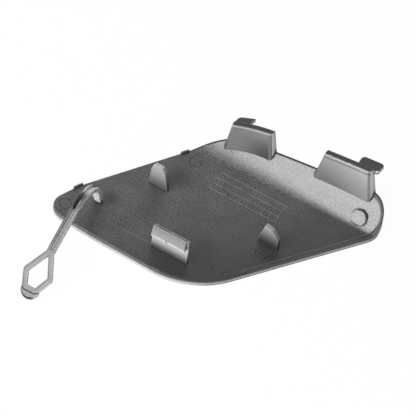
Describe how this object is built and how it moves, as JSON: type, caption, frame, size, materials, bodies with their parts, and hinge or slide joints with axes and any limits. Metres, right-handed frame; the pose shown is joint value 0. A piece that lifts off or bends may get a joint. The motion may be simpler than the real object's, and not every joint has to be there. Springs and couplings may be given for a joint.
{
  "type": "bumper tow hook cover",
  "caption": "Rounded rhomboid snap-in cover for a bumper tow eye, seen from its inner side, with edge hooks, a snap clip, locating ribs and a tether strap with an eye.",
  "frame": {"origin": "on the flat outer face, near the middle of the cover", "axes": "+X along the hooked edge, +Y towards the hooked edge, +Z away from the outer face towards the inner side"},
  "size_m": [0.0832, 0.0941, 0.0166],
  "materials": {
    "moulding": "matt grey moulded plastic with a fine grain"
  },
  "bodies": {
    "root": {"tow_hook_cover": "moulding"}
  },
  "joints": []
}
